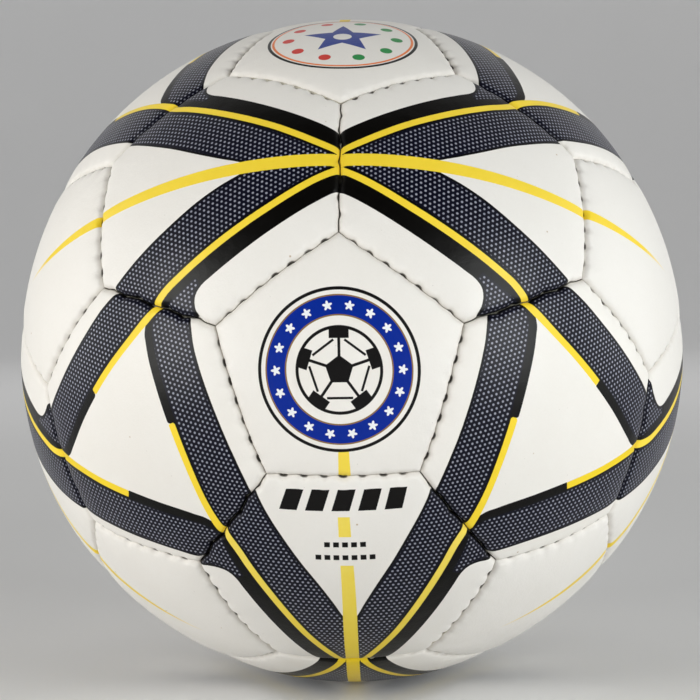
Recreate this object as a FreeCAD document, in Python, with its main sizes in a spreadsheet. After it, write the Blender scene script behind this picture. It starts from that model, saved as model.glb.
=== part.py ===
import FreeCAD, Part
import math
import os
import sys

import Sketcher
from FreeCAD import Matrix, Placement, Rotation, Vector

# A 32-panel, hand-stitched indoor (low-bounce) ball, size 4.
# The frame: origin at the ball's centre, +Z up, the front pentagon's axis along -Y with one corner
# straight up, the inflation valve on the +Y axis. X = 0 is a mirror plane of the panel layout.
# The panels are a truncated icosahedron blown up onto a sphere: every seam is an arc of a great
# circle, so every seam face is a plane through the origin.

os.makedirs("parts", exist_ok=True)
doc = FreeCAD.newDocument("futsal_ball")

# ---------------------------------------------------------------- driving dimensions (mm, degrees)
CELLS = [
    # cover
    ("ball_radius", 100.25, "crown of every panel: 630 mm circumference"),
    ("cover_thickness", 1.6, "synthetic leather with its foam backing"),
    ("lining_thickness", 1.3, "four plies of laminated cloth"),
    ("flange_thickness", 1.5, "panel edge turned inwards along each seam"),
    ("flange_depth", 5.6, "from the crown down to the flange's free edge"),
    ("edge_round", 1.3, "rounding of each panel's outer edge at the seam"),
    ("seam_clearance", 0.02, "from each seam plane to the panel's own face"),
    ("lining_clearance", 0.05, "between a lining and the flanges round it"),
    ("glue_line", 0.03, "latex adhesive between cover and lining"),
    # panel geometry: angles from the panel's axis to its seam planes, and what the arcs span
    ("pentagon_seam_angle", 16.4722, "pentagon axis to its seam planes"),
    ("hexagon_seam_angle", 20.9052, "hexagon axis to its seam planes"),
    ("pentagon_spread", 22.5, "half angle of the pentagon's round blank"),
    ("hexagon_spread", 26.5, "half angle of the hexagon's round blank"),
    ("flange_span", 27.0, "arc of each turned-in edge before it is mitred"),
    # seam thread
    ("thread_radius", 0.45, "waxed polyester thread, two strands side by side"),
    ("thread_depth", 2.7, "of the stitch line below the crown"),
    ("thread_clearance", 0.05, "round the thread in its channel"),
    ("thread_span", 22.4, "arc of one sewn seam"),
    ("channel_span", 22.8, "arc of the channel that the stitches pull into the flanges"),
    # bladder and its filling
    ("bladder_radius", 94.4, "outside of the inflated bladder"),
    ("bladder_wall", 0.9, "latex"),
    ("bladder_hole", 4.05, "round the valve's stem"),
    ("damping_thickness", 3.0, "soft foam bonded inside the bladder"),
    ("damping_clearance", 0.05, "between foam and bladder"),
    ("damping_opening", 15.5, "radius of the gap in the foam round the valve's flange"),
    # valve
    ("valve_hole_radius", 4.1, "in the cover panel and in its lining"),
    ("stem_radius", 4.0, "valve body through the wall"),
    ("stem_top", 100.0, "distance of the valve's face from the centre"),
    ("stem_bottom", 86.5, "inner end of the stem"),
    ("stem_bore", 2.6, "seat of the core"),
    ("stem_floor", 88.0, "bottom of the core's seat"),
    ("valve_flange_radius", 14.0, "disc vulcanised inside the bladder"),
    ("disc_root_high", 93.3, "disc's outer face at the stem, just inside the bladder"),
    ("disc_root_low", 91.9, "disc's inner face at the stem"),
    ("disc_rim_high", 92.3, "disc's outer face at its rim"),
    ("disc_rim_low", 91.3, "disc's inner face at its rim"),
    ("patch_inside", 94.45, "inner face of the cloth patch over the bladder's opening"),
    ("patch_spread", 10.4, "half angle of the patch: 17 mm radius"),
    ("patch_thickness", 0.8, "of the patch"),
    ("core_radius", 2.55, "rubber core in the valve body"),
    ("core_top", 99.7, "face of the core, slightly below the valve's face"),
    ("core_bottom", 88.05, "inner end of the core"),
    ("needle_radius", 1.05, "guide hole for an inflating needle"),
    ("needle_floor", 91.7, "bottom of the guide hole, where the closed slit starts: 8 mm deep"),
]
sheet = doc.addObject("Spreadsheet::Sheet", "dims")
for row, (alias, value, note) in enumerate(CELLS, start=1):
    sheet.set("A%d" % row, alias)
    sheet.set("B%d" % row, str(value))
    sheet.setAlias("B%d" % row, alias)
    sheet.set("C%d" % row, note)
doc.recompute()


def dim(alias):
    return float(sheet.get(alias))


def ref(alias):
    return "<<dims>>." + alias


# ---------------------------------------------------------------- sketch helpers
def new_sketch(body, name, role="XZ_Plane"):
    s = body.newObject("Sketcher::SketchObject", name)
    plane = [f for f in body.Origin.OriginFeatures if f.Role == role][0]
    s.AttachmentSupport = [(plane, "")]
    s.MapMode = "FlatFace"
    return s


def bind(s, kind, name, args, value, expression):
    """A dimensional constraint, named and driven by the sheet."""
    i = s.addConstraint(Sketcher.Constraint(kind, *args, value))
    s.renameConstraint(i, name)
    s.setExpression("Constraints." + name, expression)
    return i


def tie(s, kind, *args):
    s.addConstraint(Sketcher.Constraint(kind, *args))


def axis_of(body, role="Z_Axis"):
    return ([f for f in body.Origin.OriginFeatures if f.Role == role][0], [""])


def sector(s, outer, inner, spread):
    """Closed profile between two arcs about the origin, from the vertical axis to the angle spread.
    outer, inner and spread are pairs: value, expression."""
    a = math.radians(spread[0])
    ro, ri = outer[0], inner[0]
    o = Vector(0, 0, 0)
    n = Vector(0, 0, 1)
    g0 = s.addGeometry(Part.ArcOfCircle(Part.Circle(o, n, ro), math.pi / 2 - a, math.pi / 2))
    g1 = s.addGeometry(Part.LineSegment(Vector(0, ro, 0), Vector(0, ri, 0)))
    g2 = s.addGeometry(Part.ArcOfCircle(Part.Circle(o, n, ri), math.pi / 2 - a, math.pi / 2))
    g3 = s.addGeometry(Part.LineSegment(Vector(ri * math.sin(a), ri * math.cos(a), 0),
                                        Vector(ro * math.sin(a), ro * math.cos(a), 0)))
    tie(s, "Coincident", g0, 3, -1, 1)
    tie(s, "Coincident", g2, 3, -1, 1)
    tie(s, "Coincident", g0, 2, g1, 1)
    tie(s, "Coincident", g1, 2, g2, 2)
    tie(s, "Coincident", g2, 1, g3, 1)
    tie(s, "Coincident", g3, 2, g0, 1)
    tie(s, "PointOnObject", g1, 1, -2)
    tie(s, "PointOnObject", g1, 2, -2)
    tie(s, "PointOnObject", -1, 1, g3)
    bind(s, "Radius", "outer", (g0,), ro, outer[1])
    bind(s, "Radius", "inner", (g2,), ri, inner[1])
    # the slanting end's own direction, measured from the horizontal axis
    bind(s, "Angle", "spread", (g3,), math.pi / 2 - a, "90 deg - 1 deg * (%s)" % spread[1])


def seam_frame(angle_deg):
    """Unit vectors in the X-Z sketch: along the seam plane, and square to it towards the panel."""
    a = math.radians(angle_deg)
    return Vector(math.sin(a), math.cos(a), 0), Vector(-math.cos(a), math.sin(a), 0)


def seam_axis(s, angle_alias):
    """Construction line through the origin, square to the seam plane: the seam arc's own axis."""
    u, w = seam_frame(dim(angle_alias))
    g = s.addGeometry(Part.LineSegment(Vector(0, 0, 0), w * -30.0), True)
    tie(s, "Coincident", g, 1, -1, 1)
    bind(s, "Distance", "axis_length", (g,), 30.0, "30 mm")
    bind(s, "Angle", "seam_angle", (g,), -math.radians(dim(angle_alias)), "-1 deg * " + ref(angle_alias))
    return g, u, w


def seam_box(s, axis, u, w, low, high, near, far):
    """Rectangle square to the seam plane: low..high along it (from the origin), near..far across it,
    positive towards the panel. Each is a pair: value, expression; near may only be a number."""
    p = [u * low[0] + w * near[0], u * high[0] + w * near[0], u * high[0] + w * far[0], u * low[0] + w * far[0]]
    g = [s.addGeometry(Part.LineSegment(p[i], p[(i + 1) % 4])) for i in range(4)]
    for i in range(4):
        tie(s, "Coincident", g[i], 2, g[(i + 1) % 4], 1)
    tie(s, "Perpendicular", g[0], axis)
    tie(s, "Perpendicular", g[2], axis)
    tie(s, "Parallel", g[1], axis)
    tie(s, "Parallel", g[3], axis)
    bind(s, "Distance", "low_end", (-1, 1, g[3]), abs(low[0]), low[1])
    bind(s, "Distance", "high_end", (-1, 1, g[1]), abs(high[0]), high[1])
    bind(s, "Distance", "near_side", (-1, 1, g[0]), abs(near[0]), near[1])
    bind(s, "Distance", "far_side", (-1, 1, g[2]), abs(far[0]), far[1])


def set_tip(body, feature):
    body.Tip = feature
    doc.recompute()
    if feature.Shape.isNull() or not feature.Shape.isValid():
        sys.exit("%s: %s is not valid" % (body.Label, feature.Name))
    return feature


def pattern(body, feature, count):
    p = body.newObject("PartDesign::PolarPattern", feature.Name + "_ring")
    p.Originals = [feature]
    p.Axis = axis_of(body)
    p.Angle = 360
    p.Occurrences = count
    return set_tip(body, p)


def solids_volume(shape):
    return sum(x.Volume for x in shape.Solids)


# ---------------------------------------------------------------- one piece of the shell
def cut_to_outline(body, tag, angle_alias, count, gap):
    """Everything beyond the count seam planes is cut away."""
    s = new_sketch(body, tag + "_outline")
    ax, u, w = seam_axis(s, angle_alias)
    r = dim("ball_radius")
    seam_box(s, ax, u, w, (-1.3 * r, "1.3 * " + ref("ball_radius")), (1.3 * r, "1.3 * " + ref("ball_radius")),
             (gap[0], gap[1]), (-2.6 * r, "2.6 * " + ref("ball_radius")))
    before = solids_volume(body.Tip.Shape)
    p = body.newObject("PartDesign::Pocket", tag + "_trim")
    p.Profile = s
    p.SideType = "Symmetric"
    p.setExpression("Length", "3 * " + ref("ball_radius"))
    set_tip(body, p)
    if solids_volume(p.Shape) > before * 0.98:
        sys.exit(body.Label + ": the outline trim cuts nothing")
    return pattern(body, p, count)


def panel(name, sides, place, valve=False):
    """A cover panel: a domed sheet whose edges turn inwards along its seams, where it is sewn to its
    neighbours. Local Z is the panel's axis and local X points at the middle of one edge."""
    kind = "pentagon" if sides == 5 else "hexagon"
    angle = kind + "_seam_angle"
    body = doc.addObject("PartDesign::Body", name)
    body.Label = name

    s = new_sketch(body, name + "_dome")
    sector(s, (dim("ball_radius"), ref("ball_radius")),
           (dim("ball_radius") - dim("cover_thickness"), ref("ball_radius") + " - " + ref("cover_thickness")),
           (dim(kind + "_spread"), ref(kind + "_spread")))
    dome = body.newObject("PartDesign::Revolution", name + "_blank")
    dome.Profile = s
    dome.ReferenceAxis = axis_of(body)
    dome.Angle = 360
    set_tip(body, dome)

    s = new_sketch(body, name + "_edge")
    ax, u, w = seam_axis(s, angle)
    seam_box(s, ax, u, w,
             (dim("ball_radius") - dim("flange_depth"), ref("ball_radius") + " - " + ref("flange_depth")),
             (dim("ball_radius") - dim("cover_thickness") / 2, ref("ball_radius") + " - " + ref("cover_thickness") + " / 2"),
             (-1.0, "1 mm"),
             (dim("flange_thickness"), ref("flange_thickness")))
    flange = body.newObject("PartDesign::Revolution", name + "_flange")
    flange.Profile = s
    flange.ReferenceAxis = (s, ["Axis0"])
    flange.Midplane = True
    flange.setExpression("Angle", ref("flange_span"))
    set_tip(body, flange)
    pattern(body, flange, sides)

    cut_to_outline(body, name, angle, sides, (dim("seam_clearance"), ref("seam_clearance")))

    s = new_sketch(body, name + "_stitch_line")
    ax, u, w = seam_axis(s, angle)
    depth = dim("ball_radius") - dim("thread_depth")
    g = s.addGeometry(Part.Circle(u * depth, Vector(0, 0, 1), dim("thread_radius") + dim("thread_clearance")))
    run = s.addGeometry(Part.LineSegment(Vector(0, 0, 0), u * depth), True)
    tie(s, "Coincident", run, 1, -1, 1)
    tie(s, "Coincident", run, 2, g, 3)
    tie(s, "Perpendicular", run, ax)
    bind(s, "Distance", "depth", (run,), depth, ref("ball_radius") + " - " + ref("thread_depth"))
    bind(s, "Radius", "channel", (g,), dim("thread_radius") + dim("thread_clearance"),
         ref("thread_radius") + " + " + ref("thread_clearance"))
    before = solids_volume(body.Tip.Shape)
    groove = body.newObject("PartDesign::Groove", name + "_channel")
    groove.Profile = s
    groove.ReferenceAxis = (s, ["Axis0"])
    groove.Midplane = True
    groove.setExpression("Angle", ref("channel_span"))
    set_tip(body, groove)
    if solids_volume(groove.Shape) > before - 5.0:
        sys.exit(name + ": the stitch channel cuts nothing")
    pattern(body, groove, sides)

    if valve:
        s = new_sketch(body, name + "_valve_hole", "XY_Plane")
        g = s.addGeometry(Part.Circle(Vector(0, 0, 0), Vector(0, 0, 1), dim("valve_hole_radius")))
        tie(s, "Coincident", g, 3, -1, 1)
        bind(s, "Radius", "hole", (g,), dim("valve_hole_radius"), ref("valve_hole_radius"))
        before = solids_volume(body.Tip.Shape)
        hole = body.newObject("PartDesign::Pocket", name + "_hole")
        hole.Profile = s
        hole.SideType = "Symmetric"
        hole.setExpression("Length", "3 * " + ref("ball_radius"))
        set_tip(body, hole)
        if solids_volume(hole.Shape) > before - 50.0:
            sys.exit(name + ": the valve hole cuts nothing")

    base = body.Tip
    r = dim("ball_radius")
    names = []
    for i, e in enumerate(base.Shape.Edges, start=1):
        if e.Degenerated or e.Length < 15.0:
            continue
        first, last = e.ParameterRange
        pts = [e.valueAt(first + (last - first) * k / 4.0) for k in range(5)]
        off_axis = math.hypot(pts[2].x, pts[2].y)
        if all(abs(q.Length - r) < 1e-4 for q in pts) and off_axis > r * math.sin(math.radians(dim(angle))) * 0.98:
            names.append("Edge%d" % i)
    if len(names) < sides:
        sys.exit("%s: %d outer edges found" % (name, len(names)))
    f = body.newObject("PartDesign::Fillet", name + "_round")
    f.Base = (base, names)
    f.setExpression("Radius", ref("edge_round"))
    set_tip(body, f)
    body.Placement = place
    return body


# ---------------------------------------------------------------- layout of the 32 panels
def at(tilt_deg, turn_deg):
    """Direction tilted from -Y (the front pentagon's axis), turned about it from +X towards +Z."""
    a, b = math.radians(tilt_deg), math.radians(turn_deg)
    return Vector(math.sin(a) * math.cos(b), -math.cos(a), math.sin(a) * math.sin(b))


NEAR = math.degrees(math.atan(2.0))      # angle between neighbouring icosahedron corners
pentagons = [at(0, 0)]
pentagons += [at(NEAR, turn) for turn in (90, 18, 306, 234, 162)]
pentagons += [at(180 - NEAR, turn) for turn in (54, 342, 270, 198, 126)]
pentagons += [at(180, 0)]                # the last one carries the valve

hexagons = []
for i in range(12):
    for j in range(i + 1, 12):
        for k in range(j + 1, 12):
            a, b, c = pentagons[i], pentagons[j], pentagons[k]
            if min(a.dot(b), b.dot(c), a.dot(c)) > 0.4:
                hexagons.append((a + b + c).normalize())
hexagons.sort(key=lambda q: (round(q.y, 3), round(math.degrees(math.atan2(q.x, q.z)) % 360, 1)))
if len(hexagons) != 20:
    sys.exit("the layout does not give 20 hexagons")


def neighbours(q, others, cosine):
    return [o for o in others if abs(o.dot(q) - cosine) < 0.01]


PENT_HEX = math.cos(math.radians(37.3774))
HEX_HEX = math.cos(math.radians(41.8103))


def facing(axis, towards):
    """Placement that takes local Z to axis and local X towards another direction."""
    z = Vector(axis).normalize()
    x = (towards - z * towards.dot(z)).normalize()
    return Placement(Vector(0, 0, 0), Rotation(x, z.cross(x), z, "ZXY"))


nodes = []
pentagon_places, hexagon_places = [], []
for n, axis in enumerate(pentagons, start=1):
    place = facing(axis, neighbours(axis, hexagons, PENT_HEX)[0])
    pentagon_places.append(place)
    valve = n == 12
    nodes.append(panel("valve_pentagon_panel" if valve else "pentagon_panel_%02d" % n, 5, place, valve))
for n, axis in enumerate(hexagons, start=1):
    place = facing(axis, neighbours(axis, pentagons, PENT_HEX)[0])
    hexagon_places.append(place)
    nodes.append(panel("hexagon_panel_%02d" % n, 6, place))


# ---------------------------------------------------------------- linings behind the panels
def lining(name, sides, hole=False):
    kind = "pentagon" if sides == 5 else "hexagon"
    body = doc.addObject("PartDesign::Body", name)
    body.Label = name
    outer = dim("ball_radius") - dim("cover_thickness") - dim("glue_line")
    outer_ref = ref("ball_radius") + " - " + ref("cover_thickness") + " - " + ref("glue_line")
    s = new_sketch(body, name + "_dome")
    sector(s, (outer, outer_ref), (outer - dim("lining_thickness"), outer_ref + " - " + ref("lining_thickness")),
           (dim(kind + "_spread"), ref(kind + "_spread")))
    dome = body.newObject("PartDesign::Revolution", name + "_blank")
    dome.Profile = s
    dome.ReferenceAxis = axis_of(body)
    dome.Angle = 360
    set_tip(body, dome)
    cut_to_outline(body, name, kind + "_seam_angle", sides,
                   (dim("flange_thickness") + dim("lining_clearance"),
                    ref("flange_thickness") + " + " + ref("lining_clearance")))
    if hole:
        round_hole(body, name, "valve_hole_radius")
    return body


def round_hole(body, name, alias, both=True):
    """A round hole along the body's own Z axis."""
    s = new_sketch(body, name + "_hole_outline", "XY_Plane")
    g = s.addGeometry(Part.Circle(Vector(0, 0, 0), Vector(0, 0, 1), dim(alias)))
    tie(s, "Coincident", g, 3, -1, 1)
    bind(s, "Radius", "hole", (g,), dim(alias), ref(alias))
    before = solids_volume(body.Tip.Shape)
    hole = body.newObject("PartDesign::Pocket", name + "_hole")
    hole.Profile = s
    if both:
        hole.SideType = "Symmetric"
        hole.setExpression("Length", "3 * " + ref("ball_radius"))
    else:
        hole.Reversed = True
        hole.setExpression("Length", "1.5 * " + ref("ball_radius"))
    set_tip(body, hole)
    if solids_volume(hole.Shape) > before - 20.0:
        sys.exit(name + ": the hole cuts nothing")
    return hole


def group(name, members):
    """Several placed copies of plain pieces, kept as one node of separate solids."""
    links = []
    for i, (base, place) in enumerate(members, start=1):
        link = doc.addObject("App::Link", "%s_%02d" % (name, i))
        link.LinkedObject = base
        link.LinkTransform = False
        link.Placement = place
        links.append(link)
    c = doc.addObject("Part::Compound", name)
    c.Links = links
    c.Label = name
    return c


plain_pentagon_lining = lining("plain_pentagon_lining", 5)
valve_pentagon_lining = lining("valve_pentagon_lining", 5, hole=True)
plain_hexagon_lining = lining("plain_hexagon_lining", 6)
nodes.append(group("pentagon_linings", [(plain_pentagon_lining, p) for p in pentagon_places[:11]]
                   + [(valve_pentagon_lining, pentagon_places[11])]))
nodes.append(group("hexagon_linings", [(plain_hexagon_lining, p) for p in hexagon_places]))


# ---------------------------------------------------------------- the seams' thread
def thread_piece(name):
    t = doc.addObject("Part::Torus", name)
    t.Label = name
    t.setExpression("Radius1", ref("ball_radius") + " - " + ref("thread_depth"))
    t.setExpression("Radius2", ref("thread_radius"))
    t.setExpression("Angle3", ref("thread_span"))
    return t


def along_seam(a, b, angle_a):
    """Placement of a seam's arc between two panels' axes; angle_a is from a's axis to the seam."""
    side = (b - a * b.dot(a)).normalize()
    middle = (a * math.cos(math.radians(angle_a)) + side * math.sin(math.radians(angle_a))).normalize()
    z = middle.cross(a.cross(b)).normalize()
    x = Rotation(z, -dim("thread_span") / 2).multVec(middle)
    return Placement(Vector(0, 0, 0), Rotation(x, z.cross(x), z, "ZXY"))


seam_arc = thread_piece("seam_arc")
mixed, paired = [], []
for p in pentagons:
    for q in neighbours(p, hexagons, PENT_HEX):
        mixed.append((seam_arc, along_seam(p, q, dim("pentagon_seam_angle"))))
for i, q in enumerate(hexagons):
    for o in neighbours(q, hexagons[i + 1:], HEX_HEX):
        paired.append((seam_arc, along_seam(q, o, dim("hexagon_seam_angle"))))
if len(mixed) != 60 or len(paired) != 30:
    sys.exit("the layout does not give 90 seams")
nodes.append(group("pentagon_seam_thread", mixed))
nodes.append(group("hexagon_seam_thread", paired))

# ---------------------------------------------------------------- bladder and its foam
VALVE = facing(Vector(0, 1, 0), Vector(0, 0, 1))


def hollow_ball(name, outer_ref, inner_ref, hole_alias):
    body = doc.addObject("PartDesign::Body", name)
    body.Label = name
    ball = body.newObject("PartDesign::AdditiveSphere", name + "_outside")
    ball.setExpression("Radius", outer_ref)
    set_tip(body, ball)
    core = body.newObject("PartDesign::SubtractiveSphere", name + "_inside")
    core.setExpression("Radius", inner_ref)
    set_tip(body, core)
    round_hole(body, name, hole_alias, both=False)
    body.Placement = VALVE
    return body


bladder_inside = ref("bladder_radius") + " - " + ref("bladder_wall")
nodes.append(hollow_ball("bladder", ref("bladder_radius"), bladder_inside, "bladder_hole"))
foam_outside = bladder_inside + " - " + ref("damping_clearance")
nodes.append(hollow_ball("damping_foam", foam_outside, foam_outside + " - " + ref("damping_thickness"),
                         "damping_opening"))


# ---------------------------------------------------------------- the valve
def turned(body, name, corners):
    """A piece turned about its own Z: closed profile of (radius, height) corners, each coordinate a
    sheet alias, or 0 for a corner on the axis."""
    pts = [(0.0 if not x else dim(x), dim(z)) for x, z in corners]
    s = new_sketch(body, name + "_profile")
    g = [s.addGeometry(Part.LineSegment(Vector(pts[i][0], pts[i][1], 0),
                                        Vector(pts[(i + 1) % len(pts)][0], pts[(i + 1) % len(pts)][1], 0)))
         for i in range(len(pts))]
    for i in range(len(g)):
        tie(s, "Coincident", g[i], 2, g[(i + 1) % len(g)], 1)
    for i, (x, z) in enumerate(corners):
        if x:
            bind(s, "DistanceX", "x%d" % i, (-1, 1, g[i], 1), dim(x), ref(x))
        else:
            tie(s, "PointOnObject", g[i], 1, -2)
        bind(s, "DistanceY", "z%d" % i, (-1, 1, g[i], 1), dim(z), ref(z))
    rev = body.newObject("PartDesign::Revolution", name + "_turned")
    rev.Profile = s
    rev.ReferenceAxis = axis_of(body)
    rev.Angle = 360
    return set_tip(body, rev)


valve_body = doc.addObject("PartDesign::Body", "valve_body")
valve_body.Label = "valve_body"
turned(valve_body, "stem", [
    (0, "stem_bottom"), ("stem_radius", "stem_bottom"), ("stem_radius", "disc_root_low"),
    ("valve_flange_radius", "disc_rim_low"), ("valve_flange_radius", "disc_rim_high"),
    ("stem_radius", "disc_root_high"), ("stem_radius", "stem_top"),
    ("stem_bore", "stem_top"), ("stem_bore", "stem_floor"), (0, "stem_floor")])
valve_body.Placement = VALVE
nodes.append(valve_body)

valve_core = doc.addObject("PartDesign::Body", "valve_core")
valve_core.Label = "valve_core"
turned(valve_core, "plug", [
    (0, "core_bottom"), ("core_radius", "core_bottom"), ("core_radius", "core_top"),
    ("needle_radius", "core_top"), ("needle_radius", "needle_floor"), (0, "needle_floor")])
valve_core.Placement = VALVE
nodes.append(valve_core)

patch = doc.addObject("PartDesign::Body", "valve_patch")
patch.Label = "valve_patch"
s = new_sketch(patch, "patch_dome")
sector(s, (dim("patch_inside") + dim("patch_thickness"), ref("patch_inside") + " + " + ref("patch_thickness")),
       (dim("patch_inside"), ref("patch_inside")), (dim("patch_spread"), ref("patch_spread")))
dome = patch.newObject("PartDesign::Revolution", "patch_blank")
dome.Profile = s
dome.ReferenceAxis = axis_of(patch)
dome.Angle = 360
set_tip(patch, dome)
round_hole(patch, "patch", "bladder_hole")
patch.Placement = VALVE
nodes.append(patch)

# ---------------------------------------------------------------- checks and export
doc.recompute()
for obj in doc.Objects:
    if "Invalid" in obj.State or "Error" in obj.State:
        sys.exit("%s has state %s" % (obj.Label, obj.State))
total = 0.0
for node in nodes:
    shape = node.Shape
    if shape.isNull() or not shape.isValid() or not shape.Solids:
        sys.exit(node.Label + " has no valid solid")
    volume = solids_volume(shape)
    total += volume
    print("%-26s %3d solid(s) %10.1f mm3" % (node.Label, len(shape.Solids), volume))
for node in nodes:
    node.Shape.exportStep("parts/%s.step" % node.Label)
print("%d nodes, %.1f cm3 in all" % (len(nodes), total / 1000.0))
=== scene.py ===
import math

import bpy
import numpy as np
from mathutils import Matrix, Vector


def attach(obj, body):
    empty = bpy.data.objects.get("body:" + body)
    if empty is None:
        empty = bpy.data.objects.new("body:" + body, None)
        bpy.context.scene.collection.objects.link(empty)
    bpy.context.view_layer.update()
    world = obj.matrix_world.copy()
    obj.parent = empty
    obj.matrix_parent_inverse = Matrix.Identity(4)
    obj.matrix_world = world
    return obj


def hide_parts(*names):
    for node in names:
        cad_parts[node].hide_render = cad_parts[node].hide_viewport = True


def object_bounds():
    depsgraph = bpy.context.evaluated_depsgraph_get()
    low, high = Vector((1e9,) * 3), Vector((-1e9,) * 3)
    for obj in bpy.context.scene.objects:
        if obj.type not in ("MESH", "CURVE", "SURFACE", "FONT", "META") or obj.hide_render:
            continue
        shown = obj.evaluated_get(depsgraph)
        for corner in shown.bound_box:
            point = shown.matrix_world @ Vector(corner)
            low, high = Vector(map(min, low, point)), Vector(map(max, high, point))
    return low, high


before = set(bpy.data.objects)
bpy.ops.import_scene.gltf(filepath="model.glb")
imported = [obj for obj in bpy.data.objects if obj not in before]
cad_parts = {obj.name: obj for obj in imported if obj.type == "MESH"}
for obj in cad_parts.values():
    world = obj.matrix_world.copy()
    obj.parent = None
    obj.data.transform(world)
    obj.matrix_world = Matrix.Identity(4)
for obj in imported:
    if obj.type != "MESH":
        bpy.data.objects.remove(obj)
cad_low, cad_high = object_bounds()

# The ball: 32 sewn cover panels with turned-in edges, the thread in their seams and the valve at the
# back. Everything is worked out in millimetres round the ball's centre and written in metres.
MM = 0.001
R = 0.5 * (cad_high[2] - cad_low[2]) / MM + 0.01          # crown radius, mm
K = R / 100.0                                              # print sizes are given for a 100 mm ball
rng = np.random.default_rng(20)

# ------------------------------------------------------------------------------------- camera
CAM = np.array([0.1752, -5.8011, 0.2359]) * R * MM
RIGHT = Vector((0.99941, 0.03052, -0.01567))
UP = Vector((0.01441, 0.04098, 0.99906))
BACK = RIGHT.cross(UP).normalized()
UP = BACK.cross(RIGHT).normalized()
cam = bpy.data.objects.new("camera", bpy.data.cameras.new("camera"))
bpy.context.scene.collection.objects.link(cam)
rot = Matrix((RIGHT, UP, BACK)).transposed()
cam.matrix_world = Matrix.Translation(Vector(CAM)) @ rot.to_4x4()
cam.data.sensor_width = 36.0
cam.data.lens = 1897.15 / 700.0 * 36.0
cam.data.clip_start = 0.01
cam.data.clip_end = 50.0
bpy.context.scene.camera = cam


# ------------------------------------------------------------------------------------- layout
def unit(v):
    v = np.asarray(v, float)
    return v / np.linalg.norm(v, axis=-1, keepdims=True)


def at(tilt, turn):
    a, b = math.radians(tilt), math.radians(turn)
    return np.array([math.sin(a) * math.cos(b), -math.cos(a), math.sin(a) * math.sin(b)])


NEAR = math.degrees(math.atan(2.0))
PENT = [at(0, 0)] + [at(NEAR, t) for t in (90, 18, 306, 234, 162)] \
    + [at(180 - NEAR, t) for t in (54, 342, 270, 198, 126)] + [at(180, 0)]
HEX = []
for i in range(12):
    for j in range(i + 1, 12):
        for k in range(j + 1, 12):
            a, b, c = PENT[i], PENT[j], PENT[k]
            if min(a @ b, b @ c, a @ c) > 0.4:
                HEX.append(unit(a + b + c))
HEX.sort(key=lambda q: (round(q[1], 3), round(math.degrees(math.atan2(q[0], q[2])) % 360, 1)))
A5, A6 = math.radians(16.4722), math.radians(20.9052)
PH, HH = math.cos(math.radians(37.3774)), math.cos(math.radians(41.8103))
names = ["pentagon_panel_%02d" % (i + 1) for i in range(11)] + ["valve_pentagon_panel"] \
    + ["hexagon_panel_%02d" % (i + 1) for i in range(20)]
axes = PENT + HEX

# the print's own symmetry: six points where four yellow lines meet on a hexagon-hexagon seam
PHI = (1 + 5 ** 0.5) / 2
STAR_A = np.array([1.0, 0, 0])
STAR_B = unit([0, -1, -PHI])
STAR_C = unit([0, -PHI, 1])
STARS = [STAR_A, -STAR_A, STAR_B, -STAR_B, STAR_C, -STAR_C]

# ---------------------------------------------------------------------- hand-made irregularity
# A sewn ball is never quite regular: how far each seam corner of the front lies off its ideal place,
# in mm, as (direction, shift). The shift fades out round each corner.
CORNERS = [
    ((0.3265, -0.9392, 0.1061), (-0.86, -0.34, -0.40)),
    ((0.2018, -0.9392, -0.2777), (-0.32, 0.01, -0.26)),
    ((-0.2018, -0.9392, -0.2777), (0.42, -0.08, -0.04)),
    ((-0.3265, -0.9392, 0.1061), (0.60, -0.19, 0.12)),
    ((0.0, -0.9392, 0.3433), (0.0, 0.0, 0.0)),
    ((0.0, -0.7271, 0.6866), (-0.20, 1.24, 1.29)),
    ((0.653, -0.7271, 0.2122), (0.25, 0.05, -0.60)),
    ((0.4035, -0.7271, -0.5554), (-0.39, -0.80, 0.77)),
    ((-0.4035, -0.7271, -0.5554), (0.68, -1.30, 1.25)),
    ((-0.653, -0.7271, 0.2122), (-0.73, 0.68, 0.04)),
    ((-0.3265, -0.5149, 0.7926), (0.15, 0.90, 0.60)),
    ((0.3265, -0.5149, 0.7926), (-0.50, -0.40, -0.10)),
    ((0.653, -0.5149, 0.5554), (-0.30, -0.95, -0.60)),
    ((-0.73, -0.5149, -0.4494), (0.40, 0.10, -0.70)),
    ((-0.2018, -0.5149, -0.8332), (-0.60, 1.00, -0.60)),
    ((0.2018, -0.5149, -0.8332), (0.70, 0.60, -0.20)),
    ((0.73, -0.5149, -0.4494), (0.50, 1.00, -0.60)),
    ((-0.8547, -0.5149, -0.0656), (0.20, -0.40, 0.35)),
    ((0.8547, -0.5149, -0.0656), (-0.35, -0.65, 0.70)),
]
_c = unit([c for c, _ in CORNERS])
_s = np.array([s for _, s in CORNERS])
_G = lambda d: np.exp(-(np.arccos(np.clip(d, -1, 1)) / 0.30) ** 2)
_W = np.linalg.solve(_G(_c @ _c.T) + 0.02 * np.eye(len(_c)), _s)


def settle_corners(d):
    """Unit directions, nudged by the hand-made irregularity."""
    out = np.empty_like(d)
    for i in range(0, len(d), 20000):
        p = d[i:i + 20000]
        out[i:i + 20000] = unit(p + (_G(p @ _c.T) @ _W) / R)
    return out


# ------------------------------------------------------------------------------ seams and stitches
PITCH = 5.25       # mm between stitches


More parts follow.
